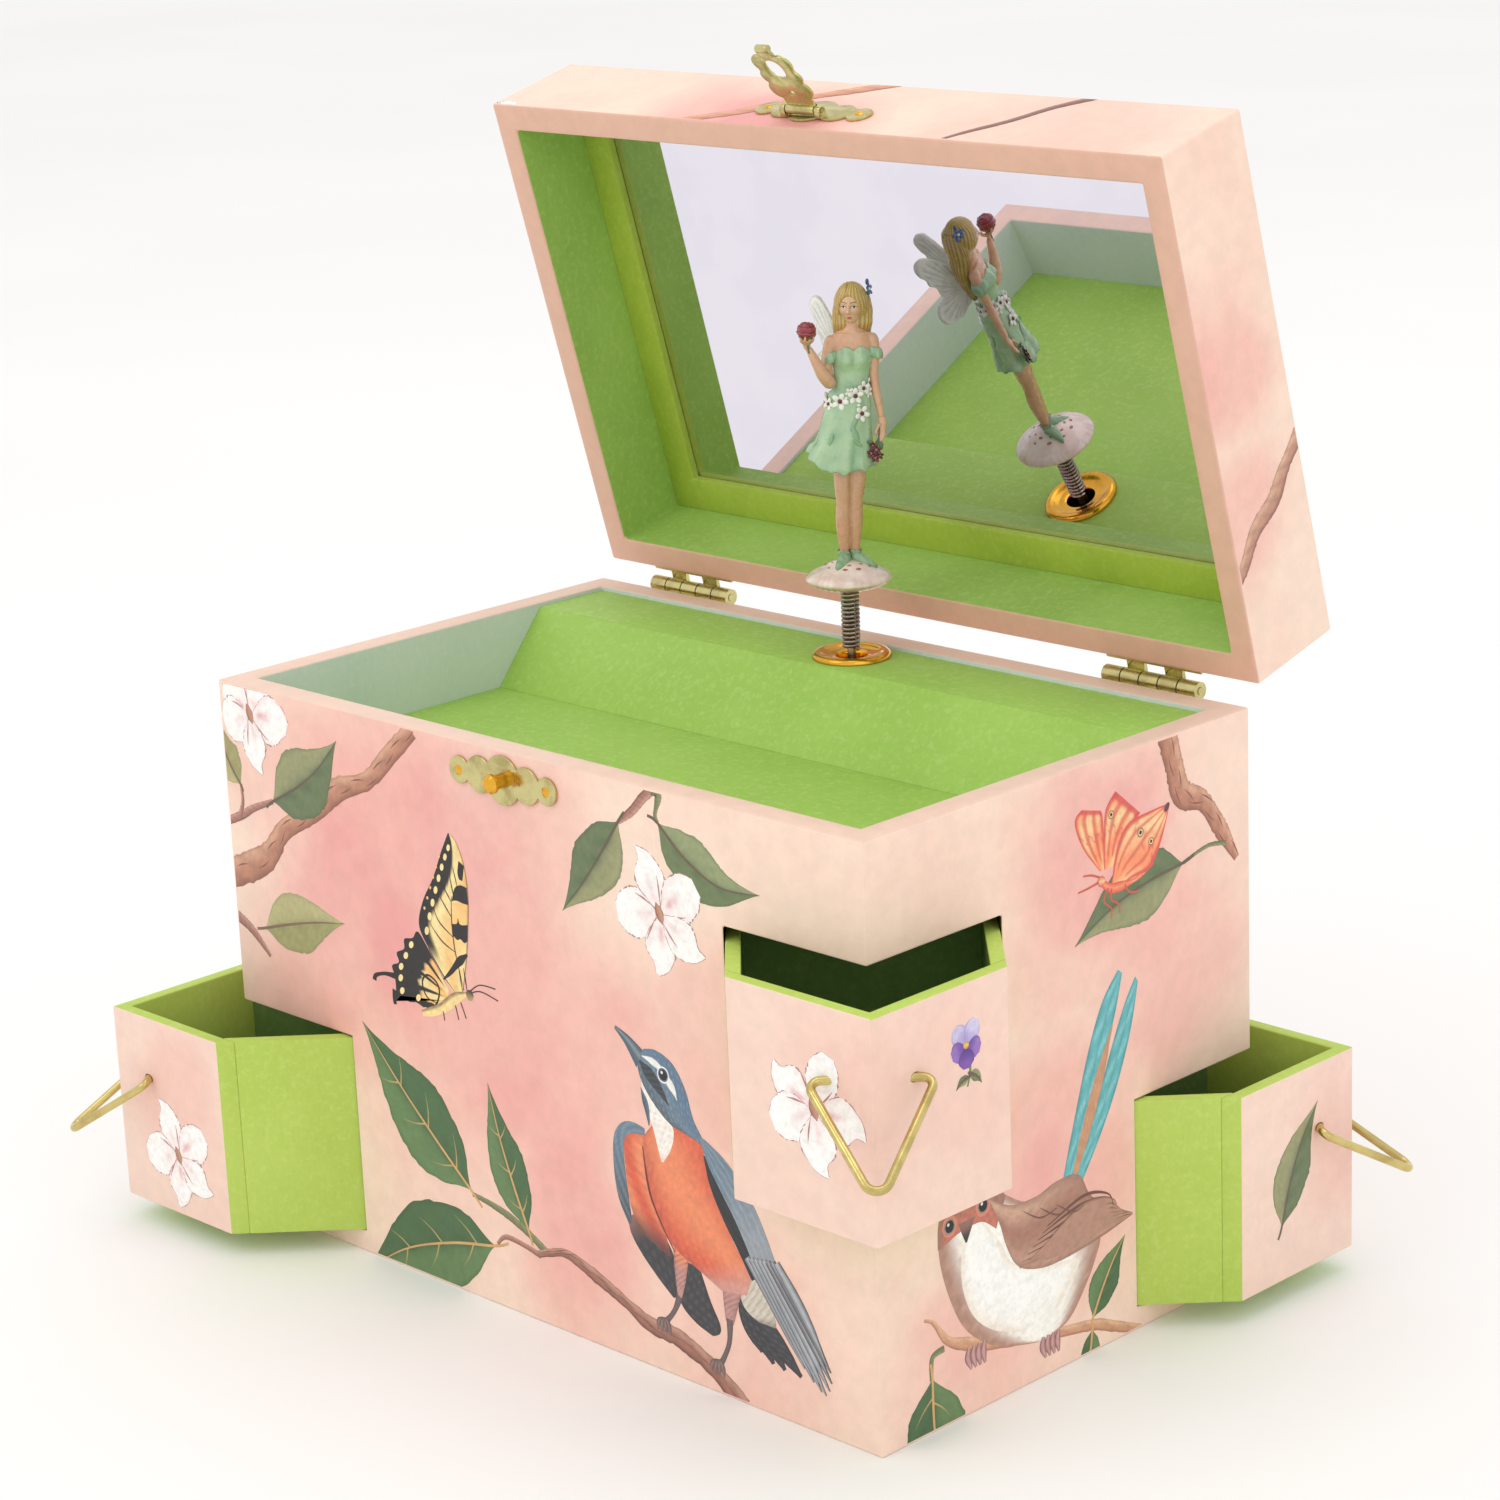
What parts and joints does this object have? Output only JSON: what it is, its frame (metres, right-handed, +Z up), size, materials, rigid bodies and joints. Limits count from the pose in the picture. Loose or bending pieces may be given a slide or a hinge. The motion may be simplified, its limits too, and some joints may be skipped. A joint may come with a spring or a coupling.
{
  "type": "musical jewellery box",
  "caption": "Paper-covered musical jewellery box with a mirrored hinged lid, corner drawers on bail handles, and a sprung figure turned by a wind-up movement.",
  "frame": {"origin": "centre of the underside of the base board", "axes": "+X to the right along the box length, -Y to the front, +Z up"},
  "size_m": [0.2446, 0.1704, 0.253],
  "materials": {
    "printed_paper": "satin printed paper over fibreboard",
    "lime_paper": "matt coloured paper over board",
    "bare_board": "bare hardboard",
    "plated_brass": "worn plated brass",
    "polished_brass": "polished",
    "brass_wire": "polished wire",
    "mirror_glass": "silvered",
    "steel": "plain",
    "movement_brass": "machined",
    "spring_steel": "bright wire",
    "painted_toadstool": "gloss painted resin",
    "painted_figure": "gloss painted resin",
    "wing_white": "gloss painted resin"
  },
  "bodies": {
    "case": {"front_panel": "printed_paper", "back_panel": "printed_paper", "left_panel": "printed_paper", "right_panel": "printed_paper", "base_board": "bare_board", "mid_board": "bare_board", "tray_floor": "lime_paper", "ramp_board": "lime_paper", "shelf_board": "lime_paper", "cell_front_left": "lime_paper", "cell_front_right": "lime_paper", "cell_back_right": "lime_paper", "cell_back_left": "lime_paper", "case_leaf_left": "plated_brass", "case_leaf_right": "plated_brass", "hinge_pins": "plated_brass", "catch_plate": "plated_brass", "catch_knob": "polished_brass", "case_nails": "polished_brass", "ferrule": "polished_brass", "bedplate": "movement_brass", "comb": "steel", "comb_screws": "steel", "spring_barrel": "movement_brass", "governor_bracket": "steel"},
    "lid": {"lid_top": "printed_paper", "lid_front_rail": "printed_paper", "lid_back_rail": "printed_paper", "lid_left_rail": "printed_paper", "lid_right_rail": "printed_paper", "mirror": "mirror_glass", "mirror_frame": "lime_paper", "lid_leaf_left": "plated_brass", "lid_leaf_right": "plated_brass", "hasp_plate": "plated_brass", "hasp_pin": "plated_brass", "lid_nails": "polished_brass"},
    "hasp": {"hasp_leaf": "plated_brass"},
    "fold": {"spring": "spring_steel"},
    "figure": {"toadstool": "painted_toadstool", "figurine": "painted_figure", "wings": "wing_white"},
    "cylinder": {"pin_cylinder": "movement_brass", "spindle": "steel"},
    "winding": {"great_wheel": "movement_brass", "winding_key": "plated_brass"},
    "governor": {"governor_wheel": "movement_brass"},
    "fan": {"governor_fan": "movement_brass"},
    "drawer_front_left": {"face_front_left": "printed_paper", "tray_front_left": "lime_paper"},
    "bail_front_left": {"handle_front_left": "brass_wire"},
    "drawer_front_right": {"face_front_right": "printed_paper", "tray_front_right": "lime_paper"},
    "bail_front_right": {"handle_front_right": "brass_wire"},
    "drawer_back_right": {"face_back_right": "printed_paper", "tray_back_right": "lime_paper"},
    "bail_back_right": {"handle_back_right": "brass_wire"},
    "drawer_back_left": {"face_back_left": "printed_paper", "tray_back_left": "lime_paper"},
    "bail_back_left": {"handle_back_left": "brass_wire"}
  },
  "joints": [
    {"name": "lid_close", "type": "hinge", "parent": "case", "child": "lid", "pos_m": [0, 0.0605, 0.1224], "axis": [1, 0, 0], "range_deg": [0, 75]},
    {"name": "hasp_swing", "type": "hinge", "parent": "lid", "child": "hasp", "pos_m": [-0.003, 0.03492, 0.23874], "axis": [1, 0, 0], "range_deg": [-87, 63]},
    {"name": "slide_front_left", "type": "slide", "parent": "case", "child": "drawer_front_left", "axis": [-0.7071, -0.7071, 0], "range_m": [-0.029, 0.011]},
    {"name": "handle_swing_front_left", "type": "hinge", "parent": "drawer_front_left", "child": "bail_front_left", "pos_m": [-0.10985, -0.07135, 0.035], "axis": [0.7071, -0.7071, 0], "range_deg": [-86, 30]},
    {"name": "slide_front_right", "type": "slide", "parent": "case", "child": "drawer_front_right", "axis": [0.7071, -0.7071, 0], "range_m": [-0.02, 0.02]},
    {"name": "handle_swing_front_right", "type": "hinge", "parent": "drawer_front_right", "child": "bail_front_right", "pos_m": [0.10348, -0.06499, 0.0815], "axis": [0.7071, 0.7071, 0], "range_deg": [-87, 29]},
    {"name": "slide_back_right", "type": "slide", "parent": "case", "child": "drawer_back_right", "axis": [0.7071, 0.7071, 0], "range_m": [-0.021, 0.019]},
    {"name": "handle_swing_back_right", "type": "hinge", "parent": "drawer_back_right", "child": "bail_back_right", "pos_m": [0.10419, 0.06569, 0.035], "axis": [-0.7071, 0.7071, 0], "range_deg": [-83, 33]},
    {"name": "slide_back_left", "type": "slide", "parent": "case", "child": "drawer_back_left", "axis": [-0.7071, 0.7071, 0], "range_m": [0, 0.04]},
    {"name": "handle_swing_back_left", "type": "hinge", "parent": "drawer_back_left", "child": "bail_back_left", "pos_m": [-0.08934, 0.05084, 0.0815], "axis": [-0.7071, -0.7071, 0], "range_deg": [-114, 2]},
    {"name": "figure_fold", "type": "hinge", "parent": "case", "child": "fold", "pos_m": [0, 0.041, 0.133], "axis": [1, 0, 0], "range_deg": [0, 95], "deforming": ["spring"]},
    {"name": "figure_spin", "type": "hinge", "parent": "fold", "child": "figure", "pos_m": [0, 0.041, 0.14], "axis": [0, 0, 1], "continuous": true},
    {"name": "cylinder_spin", "type": "hinge", "parent": "case", "child": "cylinder", "pos_m": [0, 0.041, 0.095], "axis": [0, 0, 1], "continuous": true},
    {"name": "winding_turn", "type": "hinge", "parent": "case", "child": "winding", "pos_m": [0, 0.036, 0.07055], "axis": [0, 1, 0], "continuous": true},
    {"name": "governor_turn", "type": "hinge", "parent": "case", "child": "governor", "pos_m": [0.00768, 0.041, 0.1086], "axis": [0, 0, 1], "continuous": true},
    {"name": "fan_spin", "type": "hinge", "parent": "case", "child": "fan", "pos_m": [0.01418, 0.041, 0.1086], "axis": [0, 1, 0], "continuous": true}
  ],
  "couplings": [
    {"joint": "figure_fold", "follows": "lid_close", "ratio": 1.2667},
    {"joint": "figure_spin", "follows": "cylinder_spin", "ratio": 1},
    {"joint": "winding_turn", "follows": "cylinder_spin", "ratio": 0.36364},
    {"joint": "governor_turn", "follows": "cylinder_spin", "ratio": -5},
    {"joint": "fan_spin", "follows": "cylinder_spin", "ratio": 60}
  ]
}
